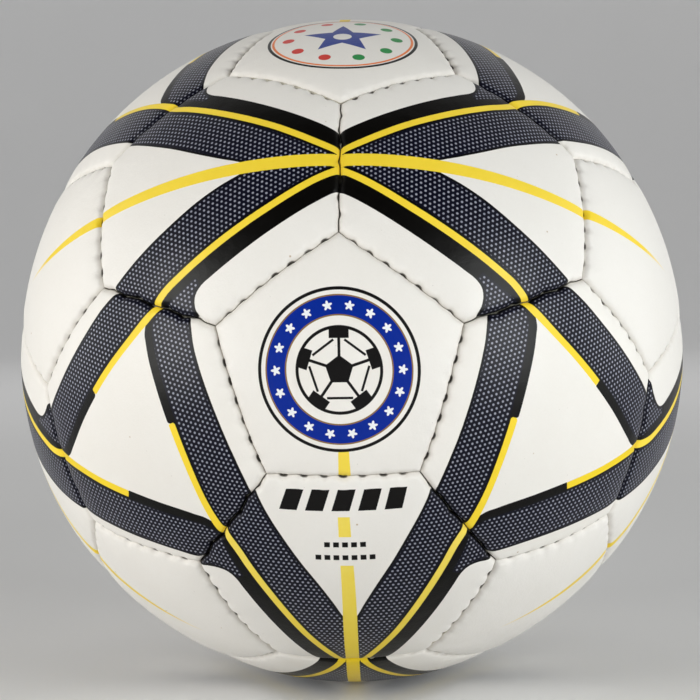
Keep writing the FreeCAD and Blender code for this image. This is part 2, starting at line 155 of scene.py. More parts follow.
def corners_of(axis, sides):
    """The panel's corners in order, with the neighbour across the edge that starts at each."""
    nb = [(k, q) for k, q in enumerate(axes) if abs(q @ axis - PH) < 0.01 or
          (sides == 6 and k >= 12 and abs(q @ axis - HH) < 0.01)]
    if sides == 5:
        nb = [(k, q) for k, q in nb if k >= 12]
    u = unit(nb[0][1] - axis * (nb[0][1] @ axis))
    v = np.cross(axis, u)
    nb.sort(key=lambda t: math.atan2(t[1] @ v, t[1] @ u) % (2 * math.pi))
    n = len(nb)
    mids = []
    for k, q in nb:
        t = unit(q - axis * (q @ axis))
        ang = A5 if sides == 5 else A6
        mids.append(axis * math.cos(ang) + t * math.sin(ang))
    normals = []
    for k, q in nb:                                   # inward normal of each seam plane
        t = unit(q - axis * (q @ axis))
        ang = A5 if sides == 5 else A6
        normals.append(axis * math.sin(ang) - t * math.cos(ang))
    cs = []
    for i in range(n):                                # corner between edge i-1 and edge i
        c = np.cross(normals[i - 1], normals[i])
        cs.append(unit(c if c @ axis > 0 else -c))
    return nb, np.array(cs), np.array(normals)


# Between the corners the seams sag a little too, and the print isn't laid quite evenly. Both fade in
# and out round the front's panel middles, corners and seam middles, taken panel by panel; a pair gives
# the pull in mm across and along there.
SEAM_PULL = [
    (0.11, -0.04), (-0.30, -0.09), (-0.20, -0.21), (0.06, -0.23), (0.49, -0.41), (0.48, 0.04),
    (0.65, 0.29), (0.13, 0.36), (-0.07, 0.17), (-0.09, 0.11), (-0.36, 0.13), (-0.05, -0.03),
    (-0.18, -0.04), (-0.08, -0.06), (-0.04, -0.04), (-0.02, -0.01), (-0.01, -0.03), (-0.08, -0.18),
    (-0.24, -0.26), (0.03, -0.09), (0.05, -0.08), (0.12, -0.23), (0.22, -0.38), (0.16, -0.53),
    (0.02, -0.17), (-0.02, -0.02), (0.01, 0.01), (-0.09, 0.00), (-0.09, -0.04), (-0.21, 0.13),
    (-0.66, 0.33), (-0.72, 0.17), (-0.14, 0.07), (-0.01, 0.03), (-0.04, -0.06), (0.06, -0.01),
    (0.18, 0.04), (0.69, 0.12), (0.59, 0.20), (0.17, 0.04), (0.04, -0.03), (0.00, -0.04),
    (0.02, 0.02), (0.01, 0.01), (-0.04, 0.11), (-0.23, 0.24), (-0.47, 0.07), (-0.14, -0.07),
    (0.20, 0.17), (0.06, 0.08), (0.02, 0.02), (-0.03, -0.03), (-0.01, -0.13), (0.01, -0.03),
    (-0.09, -0.00), (-0.02, -0.01), (-0.22, 0.22), (-0.02, -0.03), (-0.01, 0.09), (0.22, 0.23),
    (0.02, 0.04), (0.03, 0.04), (-0.08, 0.05), (0.00, 0.03), (-0.00, -0.05), (0.07, 0.03),
]
PRINT_PULL = [
    (-0.18, -0.45), (0.28, 0.21), (0.01, 1.19), (0.23, -0.27), (-0.43, 0.58), (0.16, 1.00),
    (-1.19, -1.16), (-0.87, -0.29), (0.43, 0.76), (0.58, 0.03), (0.90, -0.75), (0.04, -0.02),
    (-0.30, 0.66), (-0.26, -0.66), (0.17, -0.80), (0.48, -0.02), (0.07, 0.01), (0.17, -0.65),
    (0.35, -0.53), (0.06, 0.35), (0.14, 0.90), (0.50, -0.03), (0.10, 0.18), (-1.35, -0.53),
    (-0.99, -0.02), (-0.09, 0.44), (0.06, 1.56), (-0.09, 0.02), (-0.43, 0.64), (-0.25, 1.43),
    (-1.07, 0.60), (-0.53, -0.47), (0.62, 0.04), (-0.03, -0.09), (-0.04, 0.35), (0.06, 0.07),
    (-0.86, 0.20), (0.11, -0.22), (1.14, 1.60), (0.42, 2.14), (0.42, 0.68), (0.06, 0.08),
    (-0.07, 0.11), (-0.01, -0.36), (-0.53, -0.31), (0.35, -0.83), (0.27, -0.45), (-0.29, -0.16),
    (0.14, -0.04), (0.05, -0.04), (-0.20, -0.45), (0.99, -0.48), (0.30, -0.85), (0.13, -0.16),
    (0.21, -0.08), (-0.25, -0.34), (0.15, 1.01), (-1.27, 0.30), (-0.48, 1.69), (0.14, 1.65),
    (-0.24, 0.19), (0.16, 0.21), (0.11, 0.01), (0.19, 0.53), (-1.28, -0.67), (0.46, -0.62),
]


def front_points():
    pts = []
    for i, a in enumerate(axes):
        n = 5 if i < 12 else 6
        nb, cs, normals = corners_of(a, n)
        pts.append(a)
        for k in range(n):
            pts += [cs[k], unit(cs[k] + cs[(k + 1) % n])]
    keep = []
    for p in pts:
        if all(p @ q < math.cos(0.03) for q in keep):
            keep.append(p)
    keep = np.array(keep)
    return keep[keep @ unit(CAM) > 0.28]


_p = front_points()
_u = unit(np.array([np.cross(c, [0, 0, 1.0] if abs(c[2]) < 0.95 else [1.0, 0, 0]) for c in _p]))
_v = np.cross(_p, _u)


def pull(d, pairs):
    """A smooth sideways pull in mm at the unit directions d."""
    w = np.array(pairs)
    w = _u * w[:, :1] + _v * w[:, 1:]
    out = np.empty_like(d)
    for i in range(0, len(d), 20000):
        p = d[i:i + 20000]
        out[i:i + 20000] = np.exp(-(np.arccos(np.clip(p @ _p.T, -1, 1)) / 0.22) ** 2) @ w
    return out


def settle(d):
    d = settle_corners(d)
    return unit(d + pull(d, SEAM_PULL) / R)


def seam_of(i, j):
    """One seam's stitches, the same seen from both its panels: the centre and the size of each."""
    lo, hi = min(i, j), max(i, j)
    r = np.random.default_rng(1000 + lo * 64 + hi)
    length = math.radians(23.281) * R
    n = 7
    first = (length - (n - 1) * PITCH) / 2 + r.uniform(-0.35, 0.35)
    pos = first + np.arange(n) * PITCH + r.uniform(-0.28, 0.28, n)
    amp = r.uniform(0.5, 1.0) * r.uniform(0.75, 1.15, n)
    gap = r.uniform(0.8, 1.1) * r.uniform(0.65, 1.2, n)
    side = 1.0 if r.random() < 0.5 else -1.0
    if lo < 2:                                        # round the two badges the slits arch outwards
        side = 1.0
        amp = amp * 0.5 + 0.5
    fine = 0.85 if lo == 0 and axes[hi][2] > 0.2 else (1.3 if lo == 1 else 1.0)
    lean = r.uniform(0.2, 0.6)
    drift = r.uniform(-0.12, 0.12, 3)
    both = 1.0 if lo >= 12 else 0.0
    if both:                                          # hexagon to hexagon the seam wanders both ways
        amp = amp * np.where(np.arange(n) % 2, -0.9, 1.0) * r.uniform(0.5, 1.2, n)
    return dict(length=length, pos=pos, amp=amp, gap=gap, side=side, lean=lean, drift=drift, both=both, fine=fine)


def seam_curve(s, t):
    """Sideways place of the seam's line (towards the higher-numbered panel), and half its opening."""
    line = np.zeros_like(t)
    rest = 0.004 + 0.125 * s["both"] + (0.03 if s["fine"] < 1 else 0.0)
    half = np.full_like(t, rest)
    for p, a, g in zip(s["pos"], s["amp"], s["gap"]):
        x = t - p
        w = np.where(x * s["side"] > 0, 1.15 + s["lean"], 1.15 - 0.5 * s["lean"])
        line += (0.46 + 0.1 * s["both"]) * a * np.exp(-(np.abs(x) / w) ** 2.2)
        half += (0.19 - 0.10 * s["both"]) * s["fine"] * g * np.exp(-(np.abs(x) / 1.18) ** 4)
    line -= 0.16 * (1 - s["both"])
    ends = np.clip(np.minimum(t, s["length"] - t) / 3.0, 0, 1)
    ends = ends * ends * (3 - 2 * ends)
    u = t / s["length"]
    d = s["drift"]
    line = line * s["side"] + d[0] * np.sin(math.pi * u) + d[1] * np.sin(2 * math.pi * u) + d[2] * np.sin(3 * math.pi * u)
    return line * ends, rest + (half - rest) * np.clip(ends * 1.6, 0, 1), rest


# --------------------------------------------------------------------------------- printed pattern
def curve(t, pts):
    x = np.array([p[0] for p in pts], float)
    y = np.array([p[1] for p in pts], float)
    m = np.gradient(y, x)
    t = np.clip(t, x[0], x[-1])
    i = np.clip(np.searchsorted(x, t) - 1, 0, len(x) - 2)
    h = x[i + 1] - x[i]
    s = (t - x[i]) / h
    return ((1 + 2 * s) * (1 - s) ** 2) * y[i] + s * (1 - s) ** 2 * h * m[i] \
        + s * s * (3 - 2 * s) * y[i + 1] + s * s * (s - 1) * h * m[i + 1]


def smax(a, b, k):
    h = np.clip(0.5 - 0.5 * (b - a) / k, 0, 1)
    return b + (a - b) * h + k * h * (1 - h)


# Every print size is in mm on the plane that touches a 100 mm ball at the panel's middle. Distances
# are signed, negative inside the ink.
LINE1 = [(-4, 3.6), (0, 2.9), (5, 2.15), (8, 1.8), (15, 1.3), (23, 0.84), (31, 0.3), (39, -0.05), (54, 0.0),
         (60, 0.25), (63, 0.75), (66, 1.45), (70, 2.6)]
OUT1 = [(-6, 10.2), (0, 9.1), (4, 8.6), (8, 8.15), (15, 7.55), (23, 7.0), (31, 6.55), (39, 6.3), (46, 6.25),
        (51, 6.5), (53, 7.2), (54.5, 8.4), (55.8, 10.2), (56.8, 12.4), (57.6, 15.5), (58.2, 22)]
IN1 = [(14, -12.2), (20, -12.7), (26.5, -13.1), (32, -13.9), (39, -14.4), (50, -14.2), (60, -13.9), (66, -13.6),
       (78, -13.2)]
LINE2 = [(-36, 5.5), (-33, 3.4), (-31, 1.6), (-29.5, -0.3), (-26, -2.35), (-22, -2.85), (-10, -3.2), (0, -3.25),
         (10, -3.15), (22, -2.85), (29, -2.3), (33.1, -1.85), (36, -1.7)]
OUT2 = [(-44, 33.5), (-36, 32.2), (-26, 31.0), (-18, 30.0), (-8, 29.5), (0, 29.45), (8, 29.7), (18, 30.5),
        (26, 31.0), (36, 31.6), (44, 32.3)]
S60, C60 = math.sqrt(3) / 2, 0.5


def print_star_hexagon(x, y, x0, y0):
    """Two dotted bands that spread from the star seam (bottom), and the ray between them."""
    ax = np.abs(x)
    t = C60 * ax + S60 * (y + 38.2)
    n = S60 * ax - C60 * (y + 38.2)
    w = curve(y, [(-45, 2.0), (-38.2, 1.97), (-20, 1.9), (0, 1.82), (20, 1.72), (38.2, 1.65), (45, 1.6)])
    ray = ax - w
    line = np.abs(n - curve(t, LINE1)) - curve(t, [(0, 1.09), (8, 1.05), (40, 1.03), (60, 1.06), (70, 1.22)])
    yel = np.minimum(ray, line)
    slope = (curve(t + 0.2, OUT1) - curve(t - 0.2, OUT1)) / 0.4
    outer = (n - curve(t, OUT1)) / np.sqrt(1 + slope ** 2)
    inner = curve(t, IN1) - n
    seam = S60 * np.abs(x0) + C60 * y0 - 38.2           # the seam stays where it is when the print is pulled
    dark = smax(outer, inner, 0.6)
    dark = smax(dark, seam - 0.35, 1.7)
    band = np.maximum(inner + 0.55, n - (curve(t, LINE1) - 1.6))
    flare = np.maximum(outer + 0.55, 3.5 - n)
    dot = np.minimum(band, np.maximum(flare, 50.5 - t))
    dot = np.maximum(dot, seam + 0.3)
    return yel, dark, dot


def print_corner_hexagon(x, y, x0, y0):
    """Three dotted bands round a white triangle, each edged half in yellow and half in black."""
    fields = None
    for k in range(3):
        a = math.radians(-120 * k)
        X = x * math.cos(a) - y * math.sin(a)
        Y = x * math.sin(a) + y * math.cos(a)
        n = Y - 19.1
        lc = curve(X, LINE2)
        X0 = x0 * math.cos(a) - y0 * math.sin(a)
        Y0 = x0 * math.sin(a) + y0 * math.cos(a)
        seam = S60 * np.abs(X0) + C60 * Y0 - 38.2
        wide = curve(X, [(0, 0.97), (22, 1.0), (31, 1.18), (36, 1.25)])
        yl = np.maximum(np.abs(n - lc) - wide, -X)
        bl = np.maximum(np.maximum(np.abs(n - lc) - 1.05, X), seam - 0.3)
        out = Y - curve(X, OUT2)
        band = smax(smax(out, lc - n, 0.5), seam - 0.3, 1.4)
        dk = np.minimum(band, bl)
        dt = np.maximum(np.maximum(out + 0.55, (lc + 1.45) - n), seam + 0.3)
        new = (yl, dk, dt)
        fields = new if fields is None else tuple(np.minimum(p, q) for p, q in zip(fields, new))
    return fields


# ------------------------------------------------------------------------------------- mesh of a panel
RINGS = [0.0, 0.07, 0.16, 0.27, 0.40, 0.56, 0.76, 1.0, 1.28, 1.6, 2.0, 2.5, 3.1, 3.9, 4.8]


def frame_of(index):
    """The way a panel's print lies on it: its kind, its up and right directions, and its hand."""
    axis = axes[index]
    kind, chir = "pentagon", 1.0
    if index >= 12:
        near = max(STARS, key=lambda s: s @ axis)
        if near @ axis > 0.92:
            kind, up = "star", -near
        else:
            kind, up = "corner", next(q for q in PENT if abs(q @ axis - PH) < 0.01)
            chir = -np.sign((axis @ STAR_A) * (axis @ STAR_B) * (axis @ STAR_C))
    elif index in (0, 11):
        up = np.array([0, 0, 1.0])
    else:
        up = PENT[0]
    up = unit(up - axis * (axis @ up))
    return kind, up, np.cross(up, axis), chir


def ink_of(index, D):
    """The three ink fields of a hexagon at the directions D."""
    kind, up, right, chir = frame_of(index)
    xy = []
    for d in (unit(D - pull(D, PRINT_PULL) / R), D):
        depth = d @ axes[index]
        xy += [(d @ right) / depth * 100.0 * (chir if kind == "corner" else 1), (d @ up) / depth * 100.0]
    return print_star_hexagon(*xy) if kind == "star" else print_corner_hexagon(*xy)


def fill_mesh(mesh, V, quads, tris):
    mesh.vertices.add(len(V))
    mesh.vertices.foreach_set("co", (V * MM).astype(np.float32).ravel())
    mesh.loops.add(quads.size + tris.size)
    mesh.loops.foreach_set("vertex_index", np.concatenate([quads.ravel(), tris.ravel()]).astype(np.int32))
    mesh.polygons.add(len(quads) + len(tris))
    starts = np.concatenate([np.arange(len(quads)) * 4, len(quads) * 4 + np.arange(len(tris)) * 3])
    mesh.polygons.foreach_set("loop_start", starts.astype(np.int32))
    mesh.update(calc_edges=True)
    mesh.polygons.foreach_set("use_smooth", np.ones(len(quads) + len(tris), bool))


def make_panel(index):
    axis = axes[index]
    sides = 5 if index < 12 else 6
    ang = A5 if sides == 5 else A6
    nb, cs, normals = corners_of(axis, sides)
    seg = 84
    step = 1.0
    # polar rings, from the seam inwards: distance from the edge (at its middle), mm
    rho = R * ang
    rings = list(RINGS)
    while rings[-1] + step < rho - 0.4 * step:
        rings.append(rings[-1] + step)
    scale = [math.tan(ang - d / R) / math.tan(ang) for d in rings]
    kind, up, right, chir = frame_of(index)

    m = sides * seg
    edge = np.repeat(np.arange(sides), seg)
    t = np.tile(np.arange(seg) / seg, sides)
    # corners on the plane that touches the unit ball at the panel's middle
    flat = cs / (cs @ axis)[:, None] - axis
    # equal steps of arc along each edge, not of the chord
    half = math.radians(23.281) / 2
    tt = 0.5 + np.tan((t - 0.5) * 2 * half) / (2 * math.tan(half))
    rim = flat[edge] * (1 - tt)[:, None] + flat[(edge + 1) % sides] * tt[:, None]
    rim_len = np.linalg.norm(rim, axis=1, keepdims=True)

    def shape(f):
        """The panel's outline shrunk by f, as directions. Round the valve it turns into a circle."""
        if index != 11:
            return unit(axis + rim * f)
        mid = f * math.tan(ang) * R
        w = min(max((mid - 7.0) / 11.0, 0.0), 1.0)
        w = w * w * (3 - 2 * w)
        return unit(axis + rim / rim_len * (w * rim_len + (1 - w) * math.tan(ang)) * f)

    if index == 11:
        scale = [f for f in scale if f * math.tan(ang) * R > 7.6]
        scale += [r_ / (math.tan(ang) * R) for r_ in (7.0, 6.2, 5.5, 5.0, 4.65, 4.4, 4.25, 4.15, 4.1)]
    D = np.array([shape(f) for f in scale])                      # rings x m x 3
    # distance from each seam, mm, and place along it
    dist = R * np.arcsin(np.clip(np.einsum("rmc,ec->rme", D, normals), -1, 1))
    shift = np.zeros_like(D)
    opening = np.zeros(D.shape[:2])
    slit = np.zeros(D.shape[:2])
    for e in range(sides):
        j = nb[e][0]
        s = seam_of(index, j)
        c0, c1 = cs[e], cs[(e + 1) % sides]
        flip = index > j                                          # measured from the same end by both
        q = unit(D - normals[e] * (D @ normals[e])[..., None])
        along = R * np.arctan2(q @ unit(np.cross(normals[e], c0)) * 1.0, q @ c0)
        if (c1 @ np.cross(normals[e], c0)) < 0:
            along = -along
        tpos = s["length"] - along if flip else along
        line, gap, rest = seam_curve(s, tpos)
        sign = -1.0 if flip else 1.0                              # towards the higher-numbered panel
        d = dist[..., e]
        fade = np.exp(-(np.clip(d, 0, None) / 2.6) ** 1.5) * (np.abs(tpos - s["length"] / 2) < s["length"] / 2 + 3)
        # 'line' pushes the seam away from the lower-numbered panel
        move = (-sign * line + gap) * fade
        shift += normals[e] * move[..., None] / R
        near_edge = np.exp(-(np.clip(d, 0, None) / 1.1) ** 2)
        opening = np.maximum(opening, gap * near_edge)
        slit = np.maximum(slit, np.clip((gap - rest) / 0.20, 0, 1) * np.exp(-(np.clip(d, 0, None) / 2.0) ** 2))
    dmin = dist.min(axis=2)
    # crown: the panel is blown up between its seams, and its edge rolls down into the seam
    soft = 0.55 * np.exp(-dmin / 3.6) + 0.32 * np.exp(-dmin / 11.0)
    x = np.clip(1.7 - dmin, 0, 1.7) / 1.97
    roll = 1.75 * (1 - np.sqrt(1 - x ** 2))
    second = np.sort(dist, axis=2)[..., 1]
    corner = np.exp(-((dmin + second) / 2.4) ** 2)               # corners sink a little more
    pull = 0.34 * slit
    height = R - 0.02 - soft - roll - 0.25 * corner - pull
    if index == 11:                                              # the rim of the valve's hole is eased
        hole = R * np.arccos(np.clip(D @ axis, -1, 1))
        height -= 0.35 - np.sqrt(np.clip(0.35 ** 2 - np.clip(4.45 - hole, 0, 0.35) ** 2, 0, None))
        height -= 0.12 * np.exp(-((hole - 4.1) / 2.5) ** 2)
    D2 = settle(unit((D + shift).reshape(-1, 3))).reshape(D.shape)
    outer = D2 * height[..., None]

    # print fields, on the unshifted plane
    X = (D @ right) / (D @ axis) * 100.0
    Y = (D @ up) / (D @ axis) * 100.0

    nr = len(D)
    verts = [outer.reshape(-1, 3), settle(axis[None]) * (R - 0.02 - 0.32 * math.exp(-rho / 11.0))]
    ids = np.arange(nr * m).reshape(nr, m)
    centre = nr * m
    # the turned-in edge: down the seam's side, and back up its inner side, then the panel's inside
    rimdir = D2[0]
    inward = unit(axis - rimdir * (rimdir @ axis)[:, None])
    stretch = 1.0 / np.clip((normals[edge] * inward).sum(1), 0.5, 1)
    down = [(2.5, 0.0), (3.2, 0.0), (4.3, 0.0), (5.25, 0.02), (5.52, 0.32), (5.58, 0.80), (5.45, 1.35), (4.6, 1.5),
            (2.2, 1.55), (1.95, 2.1)]
    low = [unit(rimdir + inward * (inn * stretch / R)[:, None]) * (R - depth) for depth, inn in down]
    for f in (0.86, 0.66, 0.42, 0.2 if index != 11 else 4.1 / (math.tan(ang) * R)):
        low.append(settle(shape(f)) * (R - 1.75))
    low = np.array(low)
    verts += [low.reshape(-1, 3), settle(axis[None]) * (R - 1.75)]
    low_ids = centre + 1 + np.arange(len(low) * m).reshape(len(low), m)
    centre2 = centre + 1 + len(low) * m
    V = np.concatenate(verts)

    def strip(a, b):
        return np.stack([a, np.roll(a, -1), np.roll(b, -1), b], 1)

    quads = [strip(ids[k], ids[k + 1]) for k in range(nr - 1)]
    quads += [strip(low_ids[0], ids[0])] + [strip(low_ids[k + 1], low_ids[k]) for k in range(len(low) - 1)]
    if index == 11:
        quads.append(strip(ids[-1], low_ids[-1]))
        tris = np.zeros((0, 3), int)
    else:
        tris = np.concatenate([np.stack([ids[-1], np.roll(ids[-1], -1), np.full(m, centre)], 1),
                               np.stack([np.roll(low_ids[-1], -1), low_ids[-1], np.full(m, centre2)], 1)])
    quads = np.concatenate(quads)
    if index == 11:                                              # no middle points round the hole
        keep = np.ones(len(V), bool)
        keep[[centre, centre2]] = False
        new = np.cumsum(keep) - 1
        quads, low_ids = new[quads], new[low_ids]
        V = V[keep]
        centre = centre2 = None

    mesh = bpy.data.meshes.new(names[index] + "_cover")
    fill_mesh(mesh, V, quads, tris)

    # attributes for every vertex
    def spread(outer_field, low_value):
        f = np.full(len(V), float(low_value))
        f[:nr * m] = outer_field.ravel()
        if centre is not None:
            f[centre] = outer_field[-1].mean()
        return f

    x_all, y_all = spread(X, 0), spread(Y, 0)
    if centre is not None:
        x_all[centre] = y_all[centre] = 0
    for k in range(len(low)):
        x_all[low_ids[k]] = X[0]
        y_all[low_ids[k]] = Y[0]
    paint = dict(yel=np.full(len(V), 9.0), dark=np.full(len(V), 9.0), dot=np.full(len(V), 9.0))
    if kind in ("star", "corner"):
        f = ink_of(index, unit(axis + (x_all[:, None] * right + y_all[:, None] * up) / 100.0))
        paint.update(yel=f[0], dark=f[1], dot=f[2])
    else:
        # the ray's end: it comes in from the hexagon whose star seam lies opposite
        ray_in = None
        for k, q in nb:
            s = max(STARS, key=lambda s: s @ q)
            if s @ q > 0.92:
                away = unit(-(s - q * (s @ q)))
                if away @ unit(axis - q * (axis @ q)) > 0.95:
                    ray_in = q
        t_in = unit(ray_in - axis * (ray_in @ axis))
        rx, ry = t_in @ right, t_in @ up
        along = x_all * rx + y_all * ry                           # 29.6 at the seam, falls towards the middle
        across = -x_all * ry + y_all * rx
        bend = 0.0011 * (29.6 - along) ** 2 * (1.0 if (index % 2) else -1.0) * 0.5
        tip = -14.0
        w = 1.68 * np.clip((along - tip) / (29.6 - tip), 0, 1) ** 0.85
        yel = np.abs(across - bend - (0.45 if index == 0 else 0.0)) - w
        if index == 0:
            yel = np.maximum(yel, along * -1.0 + 21.2)
        elif index == 1:
            yel = np.maximum(yel, along * -1.0 + 21.4)
        paint["yel"] = yel
        fade = np.clip((along - tip) / 16.0, 0, 1) ** 0.7
        att = mesh.attributes.new("ink_fade", "FLOAT", "POINT")
        att.data.foreach_set("value", fade.astype(np.float32))
    for key in ("yel", "dark", "dot"):
        vals = paint[key].astype(float).copy()
        vals[low_ids[3:].ravel()] = 9.0
        if centre2 is not None:
            vals[centre2] = 9.0
        att = mesh.attributes.new("ink_" + key, "FLOAT", "POINT")
        att.data.foreach_set("value", np.clip(vals, -9, 9).astype(np.float32))
    att = mesh.attributes.new("panel_xy", "FLOAT_VECTOR", "POINT")
    att.data.foreach_set("vector", np.stack([x_all, y_all, np.full(len(V), float(index))], 1).astype(np.float32).ravel())
    seamd = spread(dmin, 0.0)
    att = mesh.attributes.new("seam_distance", "FLOAT", "POINT")
    att.data.foreach_set("value", seamd.astype(np.float32))
    att = mesh.attributes.new("stitch_near", "FLOAT", "POINT")
    att.data.foreach_set("value", spread(slit, 0.0).astype(np.float32))
    turned = np.zeros(len(V))
    turned[low_ids.ravel()] = 1.0
    att = mesh.attributes.new("turned_in", "FLOAT", "POINT")
    att.data.foreach_set("value", turned.astype(np.float32))
    insd = np.zeros(len(V))
    insd[low_ids[5:].ravel()] = 1.0
    if centre2 is not None:
        insd[centre2] = 1.0
    att = mesh.attributes.new("inside", "FLOAT", "POINT")
    att.data.foreach_set("value", insd.astype(np.float32))

    ob = bpy.data.objects.new(names[index] + "_cover", mesh)
    bpy.context.scene.collection.objects.link(ob)
    return ob, kind


# the star hexagon under the front pentagon is the one that carries the row of marks
MARKED_HEX = max(range(20), key=lambda i: HEX[i] @ unit([0, -1.0, -0.75]))


# ------------------------------------------------------------------------------------- materials
class Nodes:
    """Small helper to write node trees."""

    def __init__(self, name):
        self.mat = bpy.data.materials.new(name)
        self.mat.use_nodes = True
        self.t = self.mat.node_tree
        self.t.nodes.clear()
        self.out = self.t.nodes.new("ShaderNodeOutputMaterial")
        self.bsdf = self.t.nodes.new("ShaderNodeBsdfPrincipled")
        self.t.links.new(self.bsdf.outputs[0], self.out.inputs[0])

    def link(self, a, b):
        self.t.links.new(a, b)

    def put(self, node, key, v):
        if v is None:
            return
        if hasattr(v, "links") or isinstance(v, bpy.types.NodeSocket):
            self.link(v, node.inputs[key])
        else:
            node.inputs[key].default_value = v

    def math(self, op, a, b=None, c=None, clamp=False):
        n = self.t.nodes.new("ShaderNodeMath")
        n.operation = op
        n.use_clamp = clamp
        self.put(n, 0, a)
        self.put(n, 1, b)
        self.put(n, 2, c)
        return n.outputs[0]

    def vec(self, op, a, b=None, scale=None):
        n = self.t.nodes.new("ShaderNodeVectorMath")
        n.operation = op
        self.put(n, 0, a)
        self.put(n, 1, b)
        if scale is not None:
            n.inputs["Scale"].default_value = scale
        return n.outputs["Value"] if op in ("LENGTH", "DISTANCE", "DOT_PRODUCT") else n.outputs[0]

    def attr(self, name, vector=False):
        n = self.t.nodes.new("ShaderNodeAttribute")
        n.attribute_type = "GEOMETRY"
        n.attribute_name = name
        return n.outputs["Vector"] if vector else n.outputs["Fac"]

    def mix(self, fac, a, b, kind="MIX"):
        n = self.t.nodes.new("ShaderNodeMix")
        n.data_type = "RGBA"
        n.blend_type = kind
        n.clamp_factor = True
        self.put(n, 0, fac)
        for key, v in ((6, a), (7, b)):
            if isinstance(v, (tuple, list)):
                v = tuple(v) + ((1.0,) if len(v) == 3 else ())
            self.put(n, key, v)
        return n.outputs[2]

    def mixf(self, fac, a, b):
        n = self.t.nodes.new("ShaderNodeMix")
        n.data_type = "FLOAT"
        n.clamp_factor = True
        self.put(n, 0, fac)
        self.put(n, 2, a)
        self.put(n, 3, b)
        return n.outputs[0]

    def noise(self, vector, scale, detail=3.0, rough=0.5, out="Fac"):
        n = self.t.nodes.new("ShaderNodeTexNoise")
        self.put(n, "Vector", vector)
        n.inputs["Scale"].default_value = scale
        n.inputs["Detail"].default_value = detail
        n.inputs["Roughness"].default_value = rough
        return n.outputs[out]

    def voronoi(self, vector, scale, feature="F1", out="Distance", smooth=None):
        n = self.t.nodes.new("ShaderNodeTexVoronoi")
        n.feature = feature
        self.put(n, "Vector", vector)
        n.inputs["Scale"].default_value = scale
        return n.outputs[out]

    def ramp(self, fac, lo, hi, a=0.0, b=1.0):
        n = self.t.nodes.new("ShaderNodeMapRange")
        n.clamp = True
        self.put(n, 0, fac)
        n.inputs[1].default_value = lo
        n.inputs[2].default_value = hi
        n.inputs[3].default_value = a
        n.inputs[4].default_value = b
        return n.outputs[0]

    def coords(self):
        n = self.t.nodes.new("ShaderNodeTexCoord")
        return n.outputs["Object"]

    def bump(self, height, distance, strength=1.0, normal=None):
        n = self.t.nodes.new("ShaderNodeBump")
        n.inputs["Strength"].default_value = strength
        n.inputs["Distance"].default_value = distance
        self.put(n, "Height", height)
        self.put(n, "Normal", normal)
        return n.outputs[0]

    def set(self, key, v):
        self.put(self.bsdf, key, v)


def srgb(r, g, b):
    f = lambda c: (c / 255.0 / 12.92) if c / 255.0 <= 0.04045 else ((c / 255.0 + 0.055) / 1.055) ** 2.4
    return (f(r), f(g), f(b))


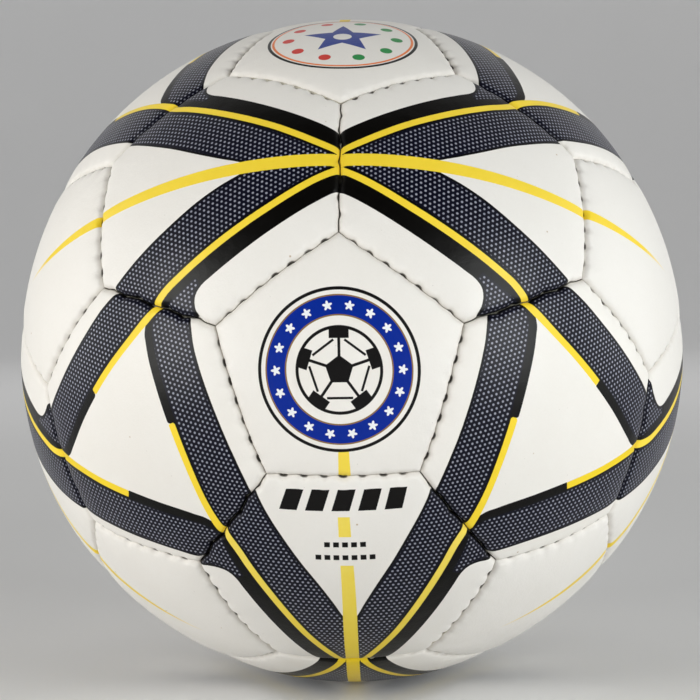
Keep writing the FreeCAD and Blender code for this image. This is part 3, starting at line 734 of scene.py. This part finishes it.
def cover_material(name, kind):
    """Printed synthetic leather: fine grain, inks with their own gloss, a trace of dirt and painted shade in the
    seams.
    """
    N = Nodes(name)
    p = N.coords()
    mm = N.vec("SCALE", p, scale=1000.0)                         # millimetres
    xy = N.attr("panel_xy", vector=True)
    sep = N.t.nodes.new("ShaderNodeSeparateXYZ")
    N.link(xy, sep.inputs[0])
    x, y, which = sep.outputs[0], sep.outputs[1], sep.outputs[2]
    add = lambda a, b: N.math("ADD", a, b)
    sub = lambda a, b: N.math("SUBTRACT", a, b)
    mul = lambda a, b: N.math("MULTIPLY", a, b)
    top = lambda a, b: N.math("MAXIMUM", a, b)
    low = lambda a, b: N.math("MINIMUM", a, b)
    absolute = lambda a: N.math("ABSOLUTE", a)
    length = lambda a, b: N.math("SQRT", add(mul(a, a), mul(b, b)))

    # ink edges are very slightly ragged
    ragged = mul(sub(N.noise(mm, 2.2, 2.0), 0.5), 0.10)
    # every panel comes from its own sheet: a small shift of tone
    sheet = N.math("FRACT", mul(N.math("SINE", add(mul(which, 12.9898), 4.1)), 43758.5))

    def inked(field, soft=0.055):
        return N.ramp(add(field, ragged), -soft, soft, 1.0, 0.0)

    white = N.mix(N.noise(mm, 0.06, 3.0), srgb(236, 233, 228), srgb(231, 227, 220))
    white = N.mix(mul(sheet, 0.35), white, srgb(226, 224, 221))
    fibre = N.noise(mm, 1.6, 4.0, 0.6)
    white = N.mix(N.ramp(fibre, 0.3, 0.75, 0.0, 0.08), white, srgb(214, 209, 199))
    # the odd speck in the white
    speck = N.voronoi(mm, 0.085)
    grit = N.voronoi(mm, 0.22)
    white = N.mix(N.ramp(speck, 0.018, 0.032, 0.75, 0.0), white, srgb(176, 150, 112))
    white = N.mix(N.ramp(grit, 0.020, 0.036, 0.30, 0.0), white, srgb(120, 112, 100))
    colour = white
    ink = None
    if kind != "pentagon":
        dark = inked(N.attr("ink_dark"))
        dot = mul(N.ramp(N.attr("ink_dot"), -0.08, 0.08, 1.0, 0.0), dark)
        black = N.mix(N.noise(mm, 0.35, 3.0), (0.0016, 0.0014, 0.0012), (0.0030, 0.0027, 0.0023))
        navy = N.mix(N.noise(mm, 0.35, 3.0), (0.0014, 0.0017, 0.0075), (0.0026, 0.0030, 0.0105))
        # hexagonal lattice of dots
        pitch = 1.45
        row = pitch * math.sqrt(3)

        def cell(ox, oy):
            u = sub(N.math("FLOORED_MODULO", add(x, 300.0 * pitch - ox), pitch), pitch / 2)
            v = sub(N.math("FLOORED_MODULO", add(y, 100.0 * row - oy), row), row / 2)
            return length(u, v)

        dd = low(cell(0, 0), cell(pitch / 2, row / 2))
        jitter = mul(sub(N.noise(mm, 1.3, 1.0), 0.5), 0.12)
        spot = N.ramp(add(dd, jitter), 0.25, 0.40, 1.0, 0.0)
        spot = mul(spot, N.ramp(N.attr("ink_dot"), -0.55, -0.15, 1.0, 0.0))
        pale = N.mix(N.noise(mm, 0.5, 2.0), srgb(160, 161, 174), srgb(140, 142, 158))
        dark_col = N.mix(dot, black, navy)
        dark_col = N.mix(mul(spot, dot), dark_col, pale)
        colour = N.mix(dark, colour, dark_col)
        ink = dark
    yel = inked(N.attr("ink_yel"))
    if kind == "pentagon":
        yellow = N.mix(N.noise(mm, 0.25, 3.0), srgb(246, 216, 62), srgb(240, 208, 48))
        yellow = N.mix(0.55, yellow, srgb(242, 218, 92)) if name == "cover_front" else yellow
        yel = mul(yel, N.ramp(N.attr("ink_fade"), 0.0, 1.0))
    else:
        # more ink near the point where four lines meet
        if kind == "marked":
            yellow = N.mix(N.ramp(y, -34.0, 6.0), srgb(234, 208, 62), srgb(239, 216, 94))
        else:
            yellow = N.mix(N.ramp(y, -34.0, 6.0), srgb(236, 204, 18), srgb(246, 215, 54))
            yellow = N.mix(mul(sheet, 0.45), yellow, srgb(240, 214, 90))
        yellow = N.mix(N.ramp(N.noise(mm, 0.25, 3.0), 0.35, 0.7, 0.0, 0.25), yellow, srgb(236, 204, 44))
    if kind == "marked":
        # the ray is left out where the marks stand: five slanted bars, and two rows of short dashes
        shown = top(N.ramp(y, 9.15, 9.25, 1.0, 0.0), low(N.ramp(y, 18.95, 19.05), N.ramp(y, 25.55, 25.65, 1.0, 0.0)))
        yel = mul(yel, top(shown, N.ramp(absolute(x), 4.0, 4.1)))
        u = sub(x, mul(sub(y, 31.0), 0.28))

        def dashes(coord, pitch, half_w, middle, half_h, reach, lean=0.0):
            c = sub(N.math("FLOORED_MODULO", add(coord, pitch * 50.5), pitch), pitch / 2)
            f = top(sub(absolute(c), half_w), sub(absolute(sub(y, middle)), half_h))
            return top(f, sub(absolute(coord), reach))

        marks = low(dashes(u, 7.2, 2.45, 31.0, 3.4, 18.0),
                    low(dashes(x, 2.4, 0.78, 16.4, 0.85, 6.0), dashes(x, 2.4, 0.78, 12.0, 0.85, 8.4)))
        m = inked(marks)
        colour = N.mix(m, colour, (0.0050, 0.0046, 0.0042))
        ink = N.math("MAXIMUM", ink, m)
    colour = N.mix(yel, colour, yellow)
    ink = yel if ink is None else N.math("MAXIMUM", ink, yel)

    def stamp(field, col, edge=0.06):
        nonlocal colour, ink
        f = N.ramp(add(field, mul(ragged, 0.6)), -edge, edge, 1.0, 0.0)
        colour = N.mix(f, colour, col)
        ink = N.math("MAXIMUM", ink, f)

    def polar(cx, cy, turn=0.0):
        px, py = sub(x, cx), sub(y, cy)
        return length(px, py), add(N.math("ARCTAN2", py, px), turn)

    def fold(angle, n):
        step = 2 * math.pi / n
        return sub(N.math("FLOORED_MODULO", add(angle, step / 2), step), step / 2)

    if kind == "pentagon" and name == "cover_front":
        # a plain round badge: black ring, blue ring with white pips, and a small ball
        r, a = polar(0.0, -0.75)
        r = mul(r, 1.02)
        stamp(sub(absolute(sub(r, 21.15)), 0.46), srgb(17, 16, 16))
        stamp(sub(absolute(sub(r, 16.7)), 2.85), srgb(134, 104, 58))
        stamp(sub(absolute(sub(r, 16.7)), 2.45), (0.0008, 0.0200, 0.270))
        b = fold(a, 18)
        along, across = mul(r, N.math("COSINE", b)), mul(r, N.math("SINE", b))
        pr = length(sub(along, 16.7), across)
        pa = N.math("ARCTAN2", across, sub(along, 16.7))
        star5 = sub(pr, add(1.0, mul(N.math("COSINE", mul(pa, 5.0)), 0.34)))
        stamp(star5, srgb(232, 234, 236))
        stamp(sub(absolute(sub(r, 11.0)), 0.42), srgb(17, 16, 16))
        up = add(a, -math.pi / 2)
        b = fold(up, 5)                                          # zero at the pentagon's corners
        c = fold(add(up, math.pi / 5), 5)                        # zero at its flats
        stamp(sub(mul(r, N.math("COSINE", c)), 3.1), srgb(17, 16, 16))
        spoke = top(sub(absolute(mul(r, N.math("SINE", b))), 0.38), top(sub(r, 8.6), sub(2.0, r)))
        stamp(spoke, srgb(17, 16, 16))
        patch = top(sub(8.1, mul(r, N.math("COSINE", b))), top(sub(r, 11.0), sub(absolute(mul(r, N.math("SINE", b))), 2.6)))
        stamp(patch, srgb(17, 16, 16))
        tie = mul(r, N.math("COSINE", c))
        stamp(top(sub(absolute(sub(tie, 7.1)), 0.32), sub(absolute(mul(r, N.math("SINE", c))), 3.4)), srgb(17, 16, 16))
    if kind == "pentagon" and name == "cover_top":
        # another plain badge: black and orange rings, a blue star, green and red spots round it
        r, a = polar(0.0, -1.1)
        r = mul(r, 0.98)
        stamp(sub(absolute(sub(r, 21.15)), 0.46), srgb(17, 16, 16))
        stamp(sub(absolute(sub(r, 19.9)), 0.36), srgb(232, 124, 58))
        down = add(a, math.pi / 2)
        b = fold(down, 5)
        inner = absolute(b)
        # a five-pointed star: each half point is a straight edge
        ux = mul(r, N.math("COSINE", inner))
        uy = mul(r, N.math("SINE", inner))
        tip, valley, va = 11.5, 5.0, math.pi / 5
        ex, ey = valley * math.cos(va) - tip, valley * math.sin(va)
        L = math.hypot(ex, ey)
        star = add(mul(sub(ux, tip), ey / L), mul(uy, -ex / L))
        stamp(star, srgb(34, 58, 140))
        stamp(sub(r, 2.6), srgb(226, 224, 220))
        d = fold(a, 10)
        pr = length(sub(mul(r, N.math("COSINE", d)), 15.4), mul(r, N.math("SINE", d)))
        stamp(top(sub(pr, 1.75), x), srgb(24, 138, 66))
        stamp(top(sub(pr, 1.75), mul(x, -1.0)), srgb(206, 54, 44))

    # dirt and painted shade at the seams and round the stitches
    sd = N.attr("seam_distance")
    st = N.attr("stitch_near")
    # dirt with painted shade: a browner, darker patchy zone within 1.2 mm of each seam
    seam_dirt_and_shade = mul(N.ramp(sd, 0.0, 1.2, 1.0, 0.0), N.ramp(N.noise(mm, 0.5, 4.0, 0.6), 0.3, 0.7, 0.10, 0.8))
    colour = N.mix(mul(seam_dirt_and_shade, 0.30), colour, srgb(168, 152, 126), "MULTIPLY")
    # painted shade: a thin darker brown line right along the seam where the panels meet
    seam_line_shade = N.ramp(sd, 0.0, 0.14, 1.0, 0.0)
    colour = N.mix(mul(seam_line_shade, 0.30), colour, srgb(140, 122, 96), "MULTIPLY")
    # painted shade: the stitch slits are painted near-black brown, standing in for the shadow inside them
    hole = mul(N.ramp(st, 0.35, 0.8), N.ramp(sd, 0.10, 0.30, 1.0, 0.0))
    colour = N.mix(mul(hole, 0.85), colour, (0.030, 0.022, 0.013))
    rub = N.ramp(N.noise(mm, 0.9, 5.0, 0.65), 0.62, 0.80, 0.0, 0.12)
    colour = N.mix(rub, colour, srgb(206, 198, 184), "MULTIPLY")
    cloth = N.mix(N.noise(mm, 3.0, 2.0), srgb(206, 200, 186), srgb(186, 180, 164))
    # the turned-in seam walls are painted dark brown, near-black under ink: partly the raw edge, partly painted shade
    # down in the seam
    turned_edge_and_shade = N.mix(N.noise(mm, 3.0, 2.0), (0.045, 0.036, 0.025), (0.075, 0.062, 0.045))
    turned_edge_and_shade = N.mix(ink, turned_edge_and_shade, (0.006, 0.005, 0.004))
    colour = N.mix(N.attr("turned_in"), colour, turned_edge_and_shade)
    colour = N.mix(N.attr("inside"), colour, cloth)
    N.set("Base Color", colour)

    # roughness: satin white, glossier ink, duller in the seams
    rough = N.mixf(ink, 0.42, 0.31)
    rough = add(rough, mul(sub(N.noise(mm, 0.8, 4.0, 0.6), 0.5), 0.12))
    rough = N.mixf(seam_dirt_and_shade, rough, 0.60)
    N.set("Roughness", rough)
    N.set("Specular IOR Level", N.mixf(ink, 0.36, 0.15))

    # fine leather grain: pebbles about 0.5 mm, pores, and soft waviness from the cloth behind
    cells = N.voronoi(mm, 1.9)
    pores = N.noise(mm, 4.2, 3.0, 0.55)
    wave = N.noise(mm, 0.16, 2.0, 0.5)
    grain = add(mul(N.ramp(cells, 0.0, 0.75), 0.6), mul(pores, 0.6))
    b1 = N.bump(wave, 0.00030, 0.55)
    b2 = N.bump(add(grain, mul(ink, 0.4)), 0.000030, 0.85, b1)
    N.set("Normal", b2)
    return N.mat


def thread_material():
    N = Nodes("seam_cord")
    p = N.coords()
    mm = N.vec("SCALE", p, scale=1000.0)
    c = N.mix(N.noise(mm, 1.4, 3.0), srgb(150, 148, 134), srgb(104, 102, 90))
    c = N.mix(N.ramp(N.noise(mm, 6.0, 2.0), 0.45, 0.7), c, srgb(186, 184, 170))
    N.set("Base Color", c)
    N.set("Roughness", N.mixf(N.noise(mm, 3.0), 0.42, 0.62))
    N.set("Normal", N.bump(N.noise(mm, 8.0, 2.0), 0.00006, 0.7))
    return N.mat


def plain_material(name, a, b, rough, scale=0.8, grain=3.0, bump=0.00006, weave=False, metal=0.0):
    N = Nodes(name)
    p = N.coords()
    mm = N.vec("SCALE", p, scale=1000.0)
    c = N.mix(N.noise(mm, scale, 4.0, 0.6), a, b)
    r = N.math("ADD", rough, N.math("MULTIPLY", N.math("SUBTRACT", N.noise(mm, scale * 2.3, 3.0), 0.5), 0.2))
    h = N.noise(mm, grain, 3.0, 0.6)
    if weave:
        sep = N.t.nodes.new("ShaderNodeSeparateXYZ")
        N.link(mm, sep.inputs[0])
        wx = N.math("SINE", N.math("MULTIPLY", sep.outputs[0], 7.0))
        wy = N.math("SINE", N.math("MULTIPLY", sep.outputs[2], 7.0))
        w = N.math("MULTIPLY", wx, wy)
        h = N.math("ADD", N.math("MULTIPLY", w, 0.5), h)
        c = N.mix(N.ramp(w, -0.6, 0.6, 0.0, 0.25), c, tuple(0.55 * v for v in a))
    N.set("Base Color", c)
    N.set("Roughness", r)
    N.set("Metallic", metal)
    N.set("Normal", N.bump(h, bump, 0.8))
    return N.mat


mats = {
    "star": cover_material("cover_star_print", "hex"),
    "marked": cover_material("cover_marked_print", "marked"),
    "corner": cover_material("cover_corner_print", "hex"),
    "pentagon": cover_material("cover_plain", "pentagon"),
    "front": cover_material("cover_front", "pentagon"),
    "top": cover_material("cover_top", "pentagon"),
}

# ------------------------------------------------------------------------------------- the panels
for i in range(32):
    ob, kind = make_panel(i)
    ob.data.materials.append(mats["front"] if i == 0 else mats["top"] if i == 1
                             else mats["marked"] if i == 12 + MARKED_HEX else mats[kind])
    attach(ob, "root")
    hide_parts(names[i])


# ------------------------------------------------------------------------------------- seam thread
def tube(points, radius, sides=8, phase=0.0):
    """Closed tube along points (n x 3, mm)."""
    n = len(points)
    tang = np.gradient(points, axis=0)
    tang = unit(tang)
    ref = unit(points)                                            # outward
    side = unit(np.cross(tang, ref))
    nrm = np.cross(side, tang)
    ang = np.linspace(0, 2 * math.pi, sides, endpoint=False) + phase
    rad = np.full(n, radius)
    rad[0] = rad[-1] = radius * 0.6
    ring = points[:, None, :] + rad[:, None, None] * (np.cos(ang)[None, :, None] * side[:, None, :]
                                                      + np.sin(ang)[None, :, None] * nrm[:, None, :])
    V = ring.reshape(-1, 3)
    ids = np.arange(n * sides).reshape(n, sides)
    a = ids[:-1]
    b = ids[1:]
    quads = np.stack([a, np.roll(a, -1, 1), np.roll(b, -1, 1), b], -1).reshape(-1, 4)
    V = np.concatenate([V, points[:1], points[-1:]])
    c0, c1 = len(V) - 2, len(V) - 1
    t0 = np.stack([np.roll(ids[0], -1), ids[0], np.full(sides, c0)], 1)
    t1 = np.stack([ids[-1], np.roll(ids[-1], -1), np.full(sides, c1)], 1)
    return V, quads, np.concatenate([t0, t1])


def build_mesh(name, parts, material):
    V, Q, T = [], [], []
    off = 0
    for v, q, t in parts:
        V.append(v)
        Q.append(q + off)
        T.append(t + off)
        off += len(v)
    V, Q, T = np.concatenate(V), np.concatenate(Q), np.concatenate(T)
    mesh = bpy.data.meshes.new(name)
    fill_mesh(mesh, V, Q, T)
    mesh.materials.append(material)
    ob = bpy.data.objects.new(name, mesh)
    bpy.context.scene.collection.objects.link(ob)
    return ob


thread = thread_material()
strands = {"pentagon_seam_thread": [], "hexagon_seam_thread": []}
for i in range(32):
    sides = 5 if i < 12 else 6
    nb, cs, normals = corners_of(axes[i], sides)
    for e in range(sides):
        j = nb[e][0]
        if j < i:
            continue
        s = seam_of(i, j)
        c0, c1 = cs[e], cs[(e + 1) % sides]
        n = 132
        tpos = np.linspace(0.5, s["length"] - 0.5, n)
        w = tpos / s["length"]
        om = math.acos(float(np.clip(c0 @ c1, -1, 1)))
        base = (np.sin((1 - w) * om)[:, None] * c0 + np.sin(w * om)[:, None] * c1) / math.sin(om)
        line, gap, _ = seam_curve(s, tpos)
        base = settle(unit(base - normals[e] * (line / R)[:, None]))
        side = unit(np.cross(unit(np.gradient(base, axis=0)), base))
        # depth: the cord comes nearest the surface at each stitch and dives between two stitches
        inked_here = np.zeros(n)
        if i >= 12:
            inks = (ink_of(i, base), ink_of(j, base))
            inked_here = np.prod([np.clip(-k[1] / 1.5, 0, 1) * np.clip(k[0] / 1.0, 0, 1) for k in inks], axis=0)
        rise = np.zeros(n)
        for k, p in enumerate(s["pos"]):
            lift = float(np.interp(p, tpos, inked_here)) * (0.55 + 0.45 * math.sin(7.0 * k + i * 1.7 + j))
            rise += (0.5 + 1.6 * lift) * np.exp(-(np.abs(tpos - p) / 1.25) ** 2.4)
        depth = 3.6 - 1.1 * rise
        key = "pentagon_seam_thread" if i < 12 or j < 12 else "hexagon_seam_thread"
        for k in (0, 1):
            tw = 2 * math.pi * tpos / 2.1 + k * math.pi
            pts = base * (R - depth)[:, None] + side * (0.17 * np.cos(tw))[:, None] + base * (0.17 * np.sin(tw))[:, None]
            strands[key].append(tube(pts, 0.21, 6))
for key, parts in strands.items():
    ob = build_mesh(key + "_cord", parts, thread)
    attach(ob, "root")
    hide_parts(key)

# ------------------------------------------------------------------------------------- carried-over nodes
finishes = {
    "bladder": plain_material("bladder_latex", srgb(206, 176, 128), srgb(184, 150, 104), 0.5, 0.12, 1.5),
    "damping_foam": plain_material("damping_foam_cells", srgb(226, 218, 180), srgb(206, 196, 152), 0.9, 0.5, 1.6, 0.0003),
    "pentagon_linings": plain_material("lining_cloth_a", srgb(214, 208, 192), srgb(196, 190, 172), 0.85, 0.4, 3.0, 0.00012, weave=True),
    "hexagon_linings": plain_material("lining_cloth_b", srgb(212, 206, 190), srgb(194, 188, 170), 0.85, 0.4, 3.0, 0.00012, weave=True),
    "valve_body": plain_material("valve_rubber", (0.012, 0.012, 0.012), (0.022, 0.021, 0.020), 0.5, 1.2, 4.0),
    "valve_core": plain_material("valve_core_rubber", (0.030, 0.029, 0.028), (0.045, 0.043, 0.041), 0.42, 1.2, 4.0),
    "valve_patch": plain_material("patch_cloth", srgb(198, 190, 170), srgb(176, 168, 148), 0.85, 0.4, 3.0, 0.00012, weave=True),
}
for node, mat in finishes.items():
    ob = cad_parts[node]
    ob.data.materials.clear()
    ob.data.materials.append(mat)

# ------------------------------------------------------------------------------------- floor and light
floor_mesh = bpy.data.meshes.new("floor")
base_z = cad_low[2]
radii = [0.0, 0.4, 0.8, 1.2, 1.6, 2.0, 2.4] + list(2.4 + 1.1 * np.sin(np.linspace(0.1, math.pi / 2, 16)))
rises = [0.0] * 7 + list(1.1 * (1 - np.cos(np.linspace(0.1, math.pi / 2, 16))))
turns = np.linspace(0, 2 * math.pi, 96, endpoint=False)
fv = [(0.0, 0.0, base_z)] + [(r_ * math.cos(a), r_ * math.sin(a), base_z + z_)
                             for r_, z_ in zip(radii[1:], rises[1:]) for a in turns]
ff = [(0, 1 + k, 1 + (k + 1) % 96) for k in range(96)]
for r_ in range(len(radii) - 2):
    o = 1 + r_ * 96
    ff += [(o + k, o + 96 + k, o + 96 + (k + 1) % 96, o + (k + 1) % 96) for k in range(96)]
floor_mesh.from_pydata(fv, [], ff)
for pl in floor_mesh.polygons:
    pl.use_smooth = True
floor = bpy.data.objects.new("floor", floor_mesh)
bpy.context.scene.collection.objects.link(floor)
N = Nodes("floor_paper")
pf = N.coords()
N.set("Base Color", N.mix(N.noise(pf, 3.0, 3.0), (0.84, 0.84, 0.84), (0.80, 0.80, 0.805)))
N.set("Roughness", 0.85)
N.set("Normal", N.bump(N.noise(pf, 400.0, 2.0), 0.0002, 0.2))
floor_mesh.materials.append(N.mat)


def area(name, location, target, size_x, size_y, power, colour=(1, 1, 1)):
    d = bpy.data.lights.new(name, "AREA")
    d.shape = "RECTANGLE"
    d.size, d.size_y = size_x, size_y
    d.energy = power
    d.color = colour
    ob = bpy.data.objects.new(name, d)
    ob.location = location
    ob.rotation_euler = (Vector(target) - Vector(location)).to_track_quat("-Z", "Y").to_euler()
    bpy.context.scene.collection.objects.link(ob)
    return ob


def at_angle(az, el, dist):
    a, e = math.radians(az), math.radians(el)
    return (math.sin(a) * math.cos(e) * dist, -math.cos(a) * math.cos(e) * dist, math.sin(e) * dist)


area("softbox_left", at_angle(-55, 5, 1.15), (0, 0, 0), 0.60, 0.90, 11.5, (1.0, 0.995, 0.965))
area("softbox_right", at_angle(51, 6, 1.15), (0, 0, 0), 0.60, 0.90, 11.8, (0.975, 1.0, 0.995))
area("side_left", at_angle(-95, 8, 1.2), (0, 0, 0), 0.60, 0.90, 3.0, (1.0, 0.995, 0.965))
area("side_right", at_angle(95, 8, 1.2), (0, 0, 0), 0.60, 0.90, 3.0, (0.975, 1.0, 0.995))
area("softbox_high", at_angle(0, 112, 1.3), (0, 0, 0), 1.4, 1.0, 0.35, (1.0, 0.99, 0.97))
area("backdrop_light", (0.0, 1.1, 1.5), (0.0, 3.2, 0.5), 2.6, 0.8, 19.0, (1.0, 1.0, 1.0))
# the studio: dark behind the camera, pale to the sides and behind the ball
world = bpy.data.worlds.new("studio")
bpy.context.scene.world = world
world.use_nodes = True
wt = world.node_tree
bg = wt.nodes["Background"]
wc = wt.nodes.new("ShaderNodeTexCoord")
wd = wt.nodes.new("ShaderNodeVectorMath")
wd.operation = "DOT_PRODUCT"
wd.inputs[1].default_value = (0.0, -0.87, 0.5)
wr = wt.nodes.new("ShaderNodeMapRange")
wr.interpolation_type = "SMOOTHSTEP"
for k, v in enumerate((0.6, -0.1, 0.02, 0.56)):
    wr.inputs[1 + k].default_value = v
wt.links.new(wc.outputs["Generated"], wd.inputs[0])
wt.links.new(wd.outputs["Value"], wr.inputs[0])
wt.links.new(wr.outputs[0], bg.inputs[1])
bg.inputs[0].default_value = (1.0, 0.99, 0.975, 1.0)

bpy.context.scene.view_settings.view_transform = "Standard"
